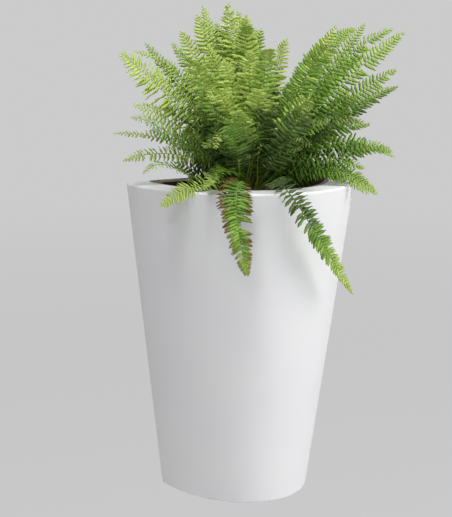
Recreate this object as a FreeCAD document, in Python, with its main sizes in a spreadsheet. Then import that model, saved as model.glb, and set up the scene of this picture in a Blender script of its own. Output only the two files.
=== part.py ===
import FreeCAD, Part
import math
import os
import re
import Sketcher

# A wall planter: a tall moulded shell hooked on a steel rail, an inner pot that hangs in
# its rim, and a fern in soil. Millimetres. +X is to the right along the wall, +Z is up, and
# the wall is the plane y = 0 with the planter on its -Y side. The origin is the centre of
# the rail's back face, on the wall.

V = FreeCAD.Vector

SIZES = {
    # shell, outside
    "top_width": 400, "top_depth": 240, "top_corner": 24,
    "foot_width": 256, "foot_depth": 180, "foot_corner": 15,
    "shell_height": 530, "rim_above_rail": 90, "wall_gap": 2,
    "edge_round": 3, "foot_round": 4,
    # shell, inside
    "shell_wall": 5, "floor_thick": 5, "rim_thick": 6, "rim_width": 42, "rim_back": 5,
    "opening_corner": 18, "ledge_width": 5, "ledge_depth": 4, "skirt_depth": 20,
    # recess in the shell's back
    "recess_width": 264, "recess_depth": 12, "recess_play": 4,
    # rail and hook, both folded from strip
    "steel": 3, "rail_leg": 32, "rail_lip": 15, "rail_width": 240, "fold_break": 0.8,
    "rail_hole": 3.3, "rail_hole_out": 95, "rail_hole_up": 9,
    "hook_play": 0.25, "hook_depth": 13, "hook_leg": 30, "hook_width": 200, "hook_lift": 18,
    "seat_gap": 0.3,
    # screws, washers and inserts that hold the hook
    "screw_near": 30, "screw_far": 80, "screw_shank": 2.5, "screw_length": 11.5,
    "screw_head": 4.5, "head_height": 3.2, "socket_size": 1.5, "socket_depth": 2,
    "washer_rim": 5, "washer_thick": 1, "screw_play": 0.2, "thread_play": 0.05,
    "insert_rim": 3.5, "insert_length": 8, "boss_rim": 7, "boss_height": 5.5,
    # rubber bumpers low on the back
    "bumper_rim": 10, "bumper_neck": 3, "bumper_barb": 4.5, "barb_length": 4,
    "bumper_out": 90, "bumper_drop": 400,
    # drain plug and its seal
    "drain_forward": 88, "drain_hole": 11, "drain_boss": 26, "drain_boss_height": 8,
    "drain_sink": 6.5, "sink_rim": 19, "plug_flange": 17, "flange_thick": 3.5,
    "plug_shank": 10.7, "plug_past": 4, "seal_thick": 2, "seal_play": 0.5,
    "coin_width": 2.5, "coin_depth": 1.6,
    # inner pot
    "liner_wall": 3, "liner_lip": 2.5, "lip_play": 0.5, "liner_clear": 4,
    "liner_depth": 400, "liner_side_gap": 20, "liner_corner": 14,
    "liner_drain": 4, "liner_drain_ring": 42,
    # false floor, filter cloth and soil
    "grid_thick": 3, "grid_feet": 25, "grid_foot_rim": 5, "grid_hole": 3, "grid_pitch": 18,
    "grid_edge": 9, "fleece_thick": 2, "soil_play": 0.3, "soil_drop": 25,
    # plant
    "plant_right": -18, "plant_forward": 97, "ball_top": 62, "ball_foot": 46,
    "ball_height": 110, "crown_rim": 22,
    "reach_right": 292, "reach_left": 240, "reach_front": 200, "reach_back": 78,
    "low_tips": 42, "middle_tips": 140, "upper_tips": 238, "top_tips": 272,
    "frond_width": 46, "frond_thick": 2.6, "stalk_width": 4, "frond_lean": 18,
    "full_span": 240,
    # the two long fronds that hang over the rim, each with a bend and a tip that are placed
    # across from the planter's middle, out from the rim's front and up from the rim
    "hanging_lead": 120,
    "left_bend_across": -147, "left_bend_out": 20, "left_bend_up": 62,
    "left_tip_across": -90, "left_tip_out": 4, "left_tip_up": -123, "left_width": 42,
    "right_bend_across": -101, "right_bend_out": 88, "right_bend_up": 66,
    "right_tip_across": 105, "right_tip_out": 14, "right_tip_up": -170, "right_width": 39,
}

# Worked out from the sizes above.
PLACES = {
    "rim_top": "=rim_above_rail",
    "foot_level": "=rim_top - shell_height",
    "slot_floor": "=rail_leg / 2 + steel",
    "rail_top": "=slot_floor + rail_lip",
    "rail_front": "=-(2 * steel + 2 * hook_play)",
    "hook_under": "=rail_top + seat_gap",
    "hook_low": "=hook_under - hook_depth",
    "hook_top": "=hook_under + hook_leg",
    "plate_back": "=-(recess_depth - steel)",
    "screw_level": "=(hook_under + steel + hook_top) / 2",
    "recess_high": "=hook_top + recess_play / 2",
    "recess_low": "=-(rail_leg / 2 + hook_lift + recess_play)",
    "liner_back": "=-(recess_depth + shell_wall + boss_height + liner_clear)",
    "liner_floor": "=rim_top - ledge_depth - liner_depth",
    "grid_top": "=liner_floor + liner_wall + grid_feet + grid_thick",
    "soil_low": "=grid_top + fleece_thick",
    "soil_top": "=rim_top - soil_drop",
    "rim_front": "=-(wall_gap + top_depth)",
}

# Fronds stand round the crown in four tiers. Each tier: their bearings and how steeply they
# leave the crown, in degrees, and then as shares: of the plant's reach, of the span that the
# curve climbs at first and that it droops before the tip, and of a frond's full width.
TIERS = {
    "low": (range(-33, 217, 45), 16, 0.95, 0.62, -0.1, 1.0),
    "middle": (range(-12, 328, 40), 36, 0.96, 0.50, 0.12, 1.0),
    "upper": (range(8, 348, 40), 53, 0.92, 0.45, 0.12, 0.95),
    "top": (range(92, 260, 72), 76, 0.38, 0.50, 0.12, 0.66),
}
END_SHARE = 0.3
# The bearing and the rise in degrees at which the two hanging fronds leave the crown.
HANGING = {"left": (-123, 22), "right": (-92, 22)}
# Share of the way along a frond, and its width there as a share of the widest.
BLADE = ((0.0, 0.0), (0.1, 0.0), (0.2, 0.30), (0.32, 0.82), (0.48, 1.0), (0.64, 0.9),
         (0.8, 0.62), (0.92, 0.3), (1.0, 0.05))

doc = FreeCAD.newDocument("wall_planter")
sheet = doc.addObject("Spreadsheet::Sheet", "Sizes")
for row, (name, value) in enumerate({**SIZES, **PLACES}.items(), start=1):
    sheet.set(f"A{row}", name)
    sheet.set(f"B{row}", str(value))
    sheet.setAlias(f"B{row}", name)
doc.recompute()


def size(name):
    """A size or place from the sheet, as a number."""
    return float(sheet.get(name))


def number(formula):
    """The present value of a formula in the sheet's words."""
    return float(sheet.evalExpression(formula))


def bind(owner, prop, formula):
    """Ties a property to the sheet. Every word in a formula is one of the sheet's."""
    owner.setExpression(prop, re.sub(r"([a-z]\w*)", r"Sizes.\1", formula))


# ---------------------------------------------------------------- bodies with sketches

def new_body(name):
    body = doc.addObject("PartDesign::Body", name)
    body.Label = name
    return body


def new_sketch(body, name, role):
    plane = [p for p in body.Origin.OriginFeatures if p.Role == role][0]
    sketch = body.newObject("Sketcher::SketchObject", f"{body.Name}_{name}")
    sketch.AttachmentSupport = [(plane, "")]
    sketch.MapMode = "FlatFace"
    return sketch


def polygon(sketch, corners):
    """A closed outline whose corners are pairs of formulas."""
    spots = [V(number(a), number(b), 0) for a, b in corners]
    count = len(spots)
    for i in range(count):
        sketch.addGeometry(Part.LineSegment(spots[i], spots[(i + 1) % count]), False)
    for i in range(count):
        sketch.addConstraint(Sketcher.Constraint("Coincident", i, 2, (i + 1) % count, 1))
    for i, (across, up) in enumerate(corners):
        for kind, formula in (("DistanceX", across), ("DistanceY", up)):
            value = number(formula)
            added = sketch.addConstraint(Sketcher.Constraint(kind, -1, 1, i, 1, value))
            bind(sketch, f"Constraints[{added}]", formula)


def circles(sketch, centres, radius):
    """Circles whose centres are pairs of formulas, all of one radius."""
    for i, (across, up) in enumerate(centres):
        centre = V(number(across), number(up), 0)
        sketch.addGeometry(Part.Circle(centre, V(0, 0, 1), number(radius)), False)
        for kind, formula in (("DistanceX", across), ("DistanceY", up)):
            value = number(formula)
            added = sketch.addConstraint(Sketcher.Constraint(kind, -1, 1, i, 3, value))
            bind(sketch, f"Constraints[{added}]", formula)
        added = sketch.addConstraint(Sketcher.Constraint("Radius", i, number(radius)))
        bind(sketch, f"Constraints[{added}]", radius)


def pad_both_ways(body, sketch, width):
    pad = body.newObject("PartDesign::Pad", f"{body.Name}_pad")
    pad.Profile = sketch
    pad.Midplane = True
    bind(pad, "Length", width)
    sketch.Visibility = False
    return pad


def drill(body, sketch):
    """Cuts the sketch's circles right through, and makes sure that metal was removed."""
    doc.recompute()
    before = body.Shape.Volume
    pocket = body.newObject("PartDesign::Pocket", f"{body.Name}_holes")
    pocket.Profile = sketch
    pocket.Type = "ThroughAll"
    pocket.Midplane = True
    doc.recompute()
    if body.Shape.Volume >= before:
        raise ValueError(f"{body.Name}: the holes cut nothing")
    return pocket


def break_edges(body, feature, radius):
    """Rounds the long edges of a folded strip."""
    doc.recompute()
    names = []
    for i, edge in enumerate(feature.Shape.Edges, start=1):
        if isinstance(edge.Curve, Part.Line) and abs(edge.Curve.Direction.x) > 0.999:
            names.append(f"Edge{i}")
    fillet = body.newObject("PartDesign::Fillet", f"{body.Name}_breaks")
    fillet.Base = (feature, names)
    bind(fillet, "Radius", radius)
    return fillet


def wall_rail():
    """Strip folded to a cleat: a leg flat on the wall, and a lip that stands off it."""
    body = new_body("wall_rail")
    side = new_sketch(body, "side", "YZ_Plane")
    polygon(side, [
        ("0", "-rail_leg / 2"), ("0", "slot_floor"),
        ("-(steel + 2 * hook_play)", "slot_floor"), ("-(steel + 2 * hook_play)", "rail_top"),
        ("rail_front", "rail_top"), ("rail_front", "rail_leg / 2"),
        ("-steel", "rail_leg / 2"), ("-steel", "-rail_leg / 2")])
    pad = pad_both_ways(body, side, "rail_width")
    break_edges(body, pad, "fold_break")
    holes = new_sketch(body, "holes", "XZ_Plane")
    circles(holes, [(f"{a}rail_hole_out", f"{b}rail_hole_up") for a in ("", "-") for b in ("", "-")],
            "rail_hole")
    drill(body, holes)


SCREW_SPOTS = [f"{sign}{out}" for out in ("screw_near", "screw_far") for sign in ("", "-")]


def hanger_hook():
    """Strip on the shell's back whose folded edge hangs behind the rail's lip."""
    body = new_body("hanger_hook")
    side = new_sketch(body, "side", "YZ_Plane")
    polygon(side, [
        ("-hook_play", "hook_low"), ("-hook_play", "hook_under + steel"),
        ("plate_back", "hook_under + steel"), ("plate_back", "hook_top"),
        ("-recess_depth", "hook_top"), ("-recess_depth", "hook_under"),
        ("-(hook_play + steel)", "hook_under"), ("-(hook_play + steel)", "hook_low")])
    pad = pad_both_ways(body, side, "hook_width")
    break_edges(body, pad, "fold_break")
    holes = new_sketch(body, "holes", "XZ_Plane")
    circles(holes, [(spot, "screw_level") for spot in SCREW_SPOTS], "screw_shank + screw_play")
    drill(body, holes)


# ---------------------------------------------------------------- primitives and booleans

def cylinder(name, radius, length, place, axis=V(0, 0, 1)):
    """A cylinder along the axis; radius, length and the three of place are formulas."""
    piece = doc.addObject("Part::Cylinder", name)
    bind(piece, "Radius", radius)
    bind(piece, "Height", length)
    piece.Placement.Rotation = FreeCAD.Rotation(V(0, 0, 1), axis)
    for letter, formula in zip("xyz", place):
        bind(piece, f"Placement.Base.{letter}", formula)
    return piece


def cut(name, base, tool):
    piece = doc.addObject("Part::Cut", name)
    piece.Base = base
    piece.Tool = tool
    return piece


def join(name, pieces):
    piece = doc.addObject("Part::MultiFuse", name)
    piece.Shapes = pieces
    return piece


def group(name, pieces):
    """Like pieces in one node, each a solid of its own."""
    piece = doc.addObject("Part::Compound", name)
    piece.Links = pieces
    piece.Label = name
    return piece


FORWARD = V(0, -1, 0)


def hanger_washers():
    rings = []
    for i, spot in enumerate(SCREW_SPOTS):
        back = "plate_back + washer_thick"
        disc = cylinder(f"washer_disc{i}", "washer_rim", "washer_thick",
                        (spot, back, "screw_level"), FORWARD)
        bore = cylinder(f"washer_bore{i}", "screw_shank + screw_play", "washer_thick",
                        (spot, back, "screw_level"), FORWARD)
        rings.append(cut(f"washer{i}", disc, bore))
    group("hanger_washers", rings)


def hanger_screws():
    """Pan heads with a hexagon socket, and plain shanks in place of threads."""
    screws = []
    for i, spot in enumerate(SCREW_SPOTS):
        seat = "plate_back + washer_thick"
        head = cylinder(f"screw_head{i}", "screw_head", "head_height",
                        (spot, f"{seat} + head_height", "screw_level"), FORWARD)
        shank = cylinder(f"screw_shank{i}", "screw_shank", "screw_length",
                         (spot, seat, "screw_level"), FORWARD)
        socket = doc.addObject("Part::Prism", f"screw_socket{i}")
        socket.Polygon = 6
        bind(socket, "Circumradius", "socket_size")
        bind(socket, "Height", "socket_depth")
        socket.Placement.Rotation = FreeCAD.Rotation(V(0, 0, 1), FORWARD)
        for letter, formula in zip("xyz", (spot, f"{seat} + head_height", "screw_level")):
            bind(socket, f"Placement.Base.{letter}", formula)
        screws.append(cut(f"screw{i}", join(f"screw_blank{i}", [head, shank]), socket))
    group("hanger_screws", screws)


def threaded_inserts():
    sleeves = []
    for i, spot in enumerate(SCREW_SPOTS):
        place = (spot, "-recess_depth", "screw_level")
        sleeve = cylinder(f"insert_sleeve{i}", "insert_rim", "insert_length", place, FORWARD)
        bore = cylinder(f"insert_bore{i}", "screw_shank + thread_play", "insert_length",
                        place, FORWARD)
        sleeves.append(cut(f"insert{i}", sleeve, bore))
    group("threaded_inserts", sleeves)


BUMPER_SPOTS = ["bumper_out", "-bumper_out"]


def wall_bumpers():
    """Rubber buttons pushed through the back wall; a barb inside holds each one."""
    buttons = []
    for i, spot in enumerate(BUMPER_SPOTS):
        pad = cylinder(f"bumper_pad{i}", "bumper_rim", "wall_gap",
                       (spot, "0", "-bumper_drop"), FORWARD)
        neck = cylinder(f"bumper_neck{i}", "bumper_neck", "shell_wall + 2 * seat_gap",
                        (spot, "-wall_gap", "-bumper_drop"), FORWARD)
        barb = doc.addObject("Part::Cone", f"bumper_barb{i}")
        bind(barb, "Radius1", "bumper_barb")
        bind(barb, "Radius2", "bumper_neck")
        bind(barb, "Height", "barb_length")
        barb.Placement.Rotation = FreeCAD.Rotation(V(0, 0, 1), FORWARD)
        barb_back = "-(wall_gap + shell_wall + seat_gap)"
        for letter, formula in zip("xyz", (spot, barb_back, "-bumper_drop")):
            bind(barb, f"Placement.Base.{letter}", formula)
        buttons.append(join(f"bumper{i}", [pad, neck, barb]))
    group("wall_bumpers", buttons)


DRAIN = ("0", "-drain_forward")


def drain_plug():
    """Flange under the floor, shank up through the hole, and a slot for a coin."""
    under = "foot_level + drain_sink - seat_gap - seal_thick - flange_thick"
    flange = cylinder("plug_flange_disc", "plug_flange", "flange_thick", (*DRAIN, under))
    shank = cylinder("plug_stem", "plug_shank",
                     "flange_thick + seal_thick + seat_gap + drain_boss_height - drain_sink"
                     " + floor_thick + plug_past", (*DRAIN, under))
    slot = doc.addObject("Part::Box", "coin_slot")
    bind(slot, "Length", "2 * plug_flange")
    bind(slot, "Width", "coin_width")
    bind(slot, "Height", "coin_depth")
    places = ("-plug_flange", "-drain_forward - coin_width / 2", under)
    for letter, formula in zip("xyz", places):
        bind(slot, f"Placement.Base.{letter}", formula)
    plug = cut("drain_plug", join("plug_blank", [flange, shank]), slot)
    plug.Label = "drain_plug"


def drain_seal():
    low = "foot_level + drain_sink - seat_gap - seal_thick"
    disc = cylinder("seal_disc", "plug_flange - seal_play", "seal_thick", (*DRAIN, low))
    bore = cylinder("seal_bore", "plug_shank + seal_play", "seal_thick", (*DRAIN, low))
    cut("drain_seal", disc, bore).Label = "drain_seal"


def root_ball():
    ball = doc.addObject("Part::Cone", "root_ball")
    ball.Label = "root_ball"
    bind(ball, "Radius1", "ball_foot")
    bind(ball, "Radius2", "ball_top")
    bind(ball, "Height", "ball_height")
    for letter, formula in zip("xyz", ("plant_right", "-plant_forward", "soil_top - ball_height")):
        bind(ball, f"Placement.Base.{letter}", formula)


def fern_crown():
    """The short rootstock that the stalks grow from, a dome on the root ball."""
    dome = doc.addObject("Part::Sphere", "fern_crown")
    dome.Label = "fern_crown"
    bind(dome, "Radius", "crown_rim")
    dome.Angle1 = 0
    for letter, formula in zip("xyz", ("plant_right", "-plant_forward", "soil_top")):
        bind(dome, f"Placement.Base.{letter}", formula)


# ---------------------------------------------------------------- pieces with the D-shaped plan

def d_outline(half, back, front, corner, level):
    """Flat back, rounded corners, and half an ellipse round the front."""
    turn = back - corner
    half_round = Part.Arc(V(-1, 0, 0), V(0, -1, 0), V(1, 0, 0)).toShape()
    stretch = FreeCAD.Matrix()
    stretch.scale(half, turn - front, 1)
    stretch.move(V(0, turn, level))
    sweep = half_round.transformGeometry(stretch).Edges[0]
    slant = corner * math.sqrt(0.5)
    right = Part.Arc(V(half, turn, level), V(half - corner + slant, turn + slant, level),
                     V(half - corner, back, level)).toShape()
    flat = Part.makeLine(V(half - corner, back, level), V(corner - half, back, level))
    left = Part.Arc(V(corner - half, back, level), V(corner - half - slant, turn + slant, level),
                    V(-half, turn, level)).toShape()
    return Part.Wire([sweep, right, flat, left])


def d_loft(low, high):
    return Part.makeLoft([d_outline(*low), d_outline(*high)], True, True)


def d_plate(outline, thick):
    return Part.Face(d_outline(*outline)).extrude(V(0, 0, thick))


def grown(outline, by):
    """The same outline moved outwards all round."""
    half, back, front, corner, level = outline
    return (half + by, back + by, front - by, max(corner + by, 1.0), level)


def at_level(outline, level):
    return (*outline[:4], level)


def shell_outline(level):
    """The shell's outside at a height: its taper runs straight from rim to foot."""
    share = (size("rim_top") - level) / size("shell_height")
    half = size("top_width") / 2 + share * (size("foot_width") - size("top_width")) / 2
    depth = size("top_depth") + share * (size("foot_depth") - size("top_depth"))
    corner = size("top_corner") + share * (size("foot_corner") - size("top_corner"))
    back = -size("wall_gap")
    return (half, back, back - depth, corner, level)


def opening_outline(level):
    """The edge of the opening seen from above: the step that the inner pot's lip lies in."""
    half, back, front, _, _ = shell_outline(size("rim_top"))
    rim = size("rim_width")
    return (half - rim, back - size("rim_back"), front + rim, size("opening_corner"), level)


def liner_outline(level):
    """The inner pot's outside at a height."""
    top_level = size("rim_top") - size("ledge_depth")
    mouth = grown(opening_outline(top_level), -size("ledge_width") - size("liner_clear"))
    foot = grown(shell_outline(size("liner_floor")), -size("shell_wall") - size("liner_side_gap"))
    share = (top_level - level) / size("liner_depth")
    half = mouth[0] + share * (foot[0] - mouth[0])
    front = mouth[2] + share * (foot[2] - mouth[2])
    return (half, size("liner_back"), front, size("liner_corner"), level)


def feature(name, shape):
    piece = doc.addObject("Part::Feature", name)
    piece.Label = name
    piece.Shape = shape
    return piece


def rounded(solid, level, radius):
    """Rounds the outermost edges at one height."""
    half, back, front, corner, _ = shell_outline(level)
    edges = []
    for edge in solid.Edges:
        box = edge.BoundBox
        flat = abs(box.ZMin - level) < 0.01 and abs(box.ZMax - level) < 0.01
        outer = box.XMax > half - corner - 1 or box.XMin < corner - half + 1
        if flat and outer and (box.YMin < front + 1 or box.YMax > back - corner - 1):
            edges.append(edge)
    return solid.makeFillet(radius, edges)


def drill_rod(radius, length, x, y, z, axis):
    return Part.makeCylinder(radius, length, V(x, y, z), axis)


def shell():
    """One moulding: tapered walls, a wide flat rim with a skirt, and a recess in the back."""
    wall = size("shell_wall")
    top = size("rim_top")
    foot = size("foot_level")
    inner_top = top - size("rim_thick")
    inner_foot = foot + size("floor_thick")
    body = d_loft(shell_outline(foot), shell_outline(top))
    body = rounded(body, top, size("edge_round"))
    body = rounded(body, foot, size("foot_round"))
    body = body.cut(d_loft(grown(shell_outline(inner_foot), -wall),
                           grown(shell_outline(inner_top), -wall)))

    skirt_low = top - size("skirt_depth")
    throat = grown(opening_outline(skirt_low), -size("ledge_width"))
    body = body.fuse(d_plate(opening_outline(skirt_low), inner_top - skirt_low))
    recess_wide = size("recess_width")
    recess_deep = size("recess_depth") - size("wall_gap")
    low, high = size("recess_low"), size("recess_high")
    back = -size("wall_gap")
    housing = Part.makeBox(recess_wide + 2 * wall, recess_deep + wall, high - low + 2 * wall,
                           V(-recess_wide / 2 - wall, back - recess_deep - wall, low - wall))
    bosses = [drill_rod(size("boss_rim"), wall + size("boss_height"), x, -size("recess_depth"),
                        size("screw_level"), FORWARD) for x in screw_places()]
    drain_y = -size("drain_forward")
    drain_boss = drill_rod(size("drain_boss"), size("floor_thick") + size("drain_boss_height"),
                           0, drain_y, foot, V(0, 0, 1))
    body = body.fuse([housing, drain_boss] + bosses)

    past = 2 * size("rim_thick")
    cuts = [
        d_plate(throat, size("skirt_depth") + past),
        d_plate(opening_outline(top - size("ledge_depth")), size("ledge_depth") + past),
        Part.makeBox(recess_wide, recess_deep + past, high - low,
                     V(-recess_wide / 2, -size("recess_depth"), low)),
        drill_rod(size("sink_rim"), size("drain_sink") + past, 0, drain_y, foot - past, V(0, 0, 1)),
        drill_rod(size("drain_hole"), past + size("floor_thick") + size("drain_boss_height"),
                  0, drain_y, foot, V(0, 0, 1)),
    ]
    cuts += [drill_rod(size("insert_rim") + size("thread_play"),
                       size("insert_length") + size("seat_gap"), x, -size("recess_depth"),
                       size("screw_level"), FORWARD) for x in screw_places()]
    cuts += [drill_rod(size("bumper_neck") + size("thread_play"), 3 * wall, x, 0,
                       -size("bumper_drop"), FORWARD) for x in bumper_places()]
    return feature("shell", body.cut(cuts))


def screw_places():
    return [sign * size(name) for name in ("screw_near", "screw_far") for sign in (1, -1)]


def bumper_places():
    return [size("bumper_out"), -size("bumper_out")]


def liner():
    """Inner pot: it hangs by its lip, and drains through seven holes in its floor."""
    lip_low = size("rim_top") - size("ledge_depth") + size("seat_gap")
    floor = size("liner_floor")
    wall = size("liner_wall")
    lip = grown(opening_outline(lip_low), -size("lip_play"))
    pot = d_loft(liner_outline(floor), liner_outline(lip_low + size("liner_lip")))
    pot = pot.fuse(d_plate(lip, size("liner_lip")))
    above = lip_low + 2 * size("liner_lip")
    hollow = d_loft(grown(liner_outline(floor + wall), -wall), grown(liner_outline(above), -wall))
    half, back, front, _, _ = liner_outline(floor)
    middle = (back + front) / 2
    drains = [drill_rod(size("liner_drain"), 3 * wall, 0, middle, floor - wall, V(0, 0, 1))]
    for i in range(6):
        turn = math.radians(60 * i)
        ring = size("liner_drain_ring")
        drains.append(drill_rod(size("liner_drain"), 3 * wall, ring * math.cos(turn),
                                middle + ring * math.sin(turn), floor - wall, V(0, 0, 1)))
    return feature("liner", pot.cut([hollow] + drains))


def inside_liner(level):
    return grown(liner_outline(level), -size("liner_wall") - size("soil_play"))


# The feet stand between the grid's holes, in steps of its pitch from its middle.
FOOT_SPOTS = [(3.5, 1.5), (-3.5, 1.5), (2.5, -1.5), (-2.5, -1.5), (0.5, 2.5), (-0.5, -2.5)]


def drainage_grid():
    """Perforated plate on six feet that keeps the soil out of the standing water."""
    plate_low = size("grid_top") - size("grid_thick")
    plate = d_loft(inside_liner(plate_low), inside_liner(size("grid_top")))
    half, back, front, _, _ = inside_liner(plate_low)
    pitch = size("grid_pitch")
    middle = (back + front) / 2
    edge = size("grid_edge")
    holes = []
    columns = int(half / pitch) + 1
    for i in range(-columns, columns + 1):
        for j in range(-columns, columns + 1):
            x, y = i * pitch, middle + j * pitch
            if y > back - edge:
                continue
            reach = math.hypot(x / (half - edge), min(y - back + edge, 0) / (front + edge - back + edge))
            if reach < 1:
                holes.append(drill_rod(size("grid_hole"), 3 * size("grid_thick"), x, y,
                                       plate_low - size("grid_thick"), V(0, 0, 1)))
    foot_low = size("liner_floor") + size("liner_wall")
    feet = [drill_rod(size("grid_foot_rim"), size("grid_feet"), i * pitch, middle + j * pitch,
                      foot_low, V(0, 0, 1)) for i, j in FOOT_SPOTS]
    return feature("drainage_grid", plate.cut(holes).fuse(feet))


def drainage_fleece():
    low = size("grid_top")
    return feature("drainage_fleece", d_loft(inside_liner(low), inside_liner(size("soil_low"))))


def potting_soil():
    """Soil from the filter cloth up, with the socket that the root ball stands in."""
    low, top = size("soil_low"), size("soil_top")
    fill = d_loft(inside_liner(low), inside_liner(top))
    play = size("soil_play")
    ball = size("ball_height")
    slope = (size("ball_top") - size("ball_foot")) / ball
    socket = Part.makeCone(size("ball_foot") + play, size("ball_top") + play + slope * play,
                           ball + play, V(size("plant_right"), -size("plant_forward"), top - ball))
    return feature("potting_soil", fill.cut(socket))


# ---------------------------------------------------------------- fronds

def crown_spot(bearing, rise, play):
    """Where a stalk leaves the crown's dome, and its direction there."""
    turn, climb = math.radians(bearing), math.radians(rise)
    way = V(math.cos(climb) * math.cos(turn), math.cos(climb) * math.sin(turn), math.sin(climb))
    centre = V(size("plant_right"), -size("plant_forward"), size("soil_top"))
    return centre + way * (size("crown_rim") + play), way


def reach_at(bearing):
    """The plant's reach: half-ellipses to the right, left, front and back."""
    turn = math.radians(bearing)
    side = size("reach_right") if math.cos(turn) > 0 else size("reach_left")
    deep = size("reach_back") if math.sin(turn) > 0 else size("reach_front")
    return 1 / math.hypot(math.cos(turn) / side, math.sin(turn) / deep)


def bezier(points, share):
    """A point on the cubic curve, and its direction there."""
    a, b, c, d = points
    rest = 1 - share
    spot = a * rest ** 3 + b * (3 * rest ** 2 * share) + c * (3 * rest * share ** 2) + d * share ** 3
    way = (b - a) * (rest ** 2) + (c - b) * (2 * rest * share) + (d - c) * (share ** 2)
    return spot, way.normalize()


def triangle(a, b, c):
    return Part.Face(Part.makePolygon([a, b, c, a]))


def skin(rings):
    """A closed solid through rings of corners, in flat facets."""
    faces = [Part.Face(Part.makePolygon(ring + ring[:1])) for ring in (rings[0], rings[-1])]
    for low, high in zip(rings, rings[1:]):
        for i in range(len(low)):
            j = (i + 1) % len(low)
            faces += [triangle(low[i], low[j], high[j]), triangle(low[i], high[j], high[i])]
    walls = Part.makeShell(faces)
    walls.sewShape()
    solid = Part.makeSolid(walls)
    if solid.Volume < 0:
        solid.reverse()
    return solid


def blade(points, side_low, side_high, width):
    """A leaf-shaped solid along the curve: a thin stalk, then a broad blade to a fine tip."""
    rings = []
    for share, wide in BLADE:
        spot, way = bezier(points, share)
        side = side_low * (1 - share) + side_high * share
        side = (side - way * side.dot(way)).normalize()
        up = side.cross(way)
        half = (size("stalk_width") + wide * (width - size("stalk_width"))) / 2
        thick = size("frond_thick") / 2
        rings.append([spot + side * half, spot + up * thick, spot - side * half, spot - up * thick])
    return skin(rings)


def tier_frond(tier, bearing):
    """One frond of a tier, arching out in its own upright plane."""
    _, rise, reach, climb, droop, wide = TIERS[tier]
    base, way = crown_spot(bearing, rise, size("seat_gap"))
    turn = math.radians(bearing)
    out = V(math.cos(turn), math.sin(turn), 0)
    tip = V(size("plant_right"), -size("plant_forward"), 0) + out * (reach_at(bearing) * reach)
    tip.z = size("rim_top") + size(f"{tier}_tips") + size("frond_lean") * math.cos(turn)
    span = (tip - base).Length
    before = tip - out * span * END_SHARE - V(0, 0, 1) * span * droop
    width = size("frond_width") * wide * min(1, span / size("full_span"))
    side = V(-math.sin(turn), math.cos(turn), 0)
    return blade([base, base + way * span * climb, before, tip], side, side, width)


def frond_tiers():
    """Fronds by tier, and the lower tiers in a left and a right half."""
    for tier, values in TIERS.items():
        halves = {"": []} if tier == "top" else {"_left": [], "_right": []}
        for bearing in values[0]:
            half = "" if tier == "top" else "_right" if math.cos(math.radians(bearing)) > 0 else "_left"
            halves[half].append(tier_frond(tier, bearing))
        for half, solids in halves.items():
            feature(f"{tier}_fronds{half}", Part.makeCompound(solids))


def hanging_frond(which):
    """A frond that rises over the rim and hangs down clear of the shell's front."""
    bearing, rise = HANGING[which]
    base, way = crown_spot(bearing, rise, size("seat_gap"))
    bend, tip = [V(size(f"{which}_{spot}_across"), size("rim_front") - size(f"{which}_{spot}_out"),
                   size("rim_top") + size(f"{which}_{spot}_up")) for spot in ("bend", "tip")]
    turn = math.radians(bearing)
    side = V(-math.sin(turn), math.cos(turn), 0)
    points = [base, base + way * size("hanging_lead"), bend, tip]
    return feature(f"hanging_frond_{which}", blade(points, side, V(1, 0, 0.4), size(f"{which}_width")))


wall_rail()
shell()
hanger_hook()
hanger_washers()
hanger_screws()
threaded_inserts()
wall_bumpers()
drain_plug()
drain_seal()
liner()
drainage_grid()
drainage_fleece()
potting_soil()
root_ball()
fern_crown()
frond_tiers()
for which in HANGING:
    hanging_frond(which)
doc.recompute()

NODES = ["wall_rail", "shell", "hanger_hook", "hanger_washers", "hanger_screws",
         "threaded_inserts", "wall_bumpers", "drain_plug", "drain_seal", "liner",
         "drainage_grid", "drainage_fleece", "potting_soil", "root_ball", "fern_crown",
         "low_fronds_left", "low_fronds_right", "middle_fronds_left", "middle_fronds_right",
         "upper_fronds_left", "upper_fronds_right", "top_fronds", "hanging_frond_left",
         "hanging_frond_right"]

for piece in doc.Objects:
    if "Invalid" in piece.State or "Error" in piece.State:
        raise ValueError(f"{piece.Name} failed: {piece.State}")
os.makedirs("parts", exist_ok=True)
for name in NODES:
    shape = doc.getObjectsByLabel(name)[0].Shape
    if shape.isNull() or not shape.isValid():
        raise ValueError(f"{name} has no valid shape")
    print(name, len(shape.Solids), "solids", round(shape.Volume / 1000, 1), "cm3")
    shape.exportStep(f"parts/{name}.step")
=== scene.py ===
import math

import bpy
import numpy as np
from mathutils import Matrix, Vector, noise


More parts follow.
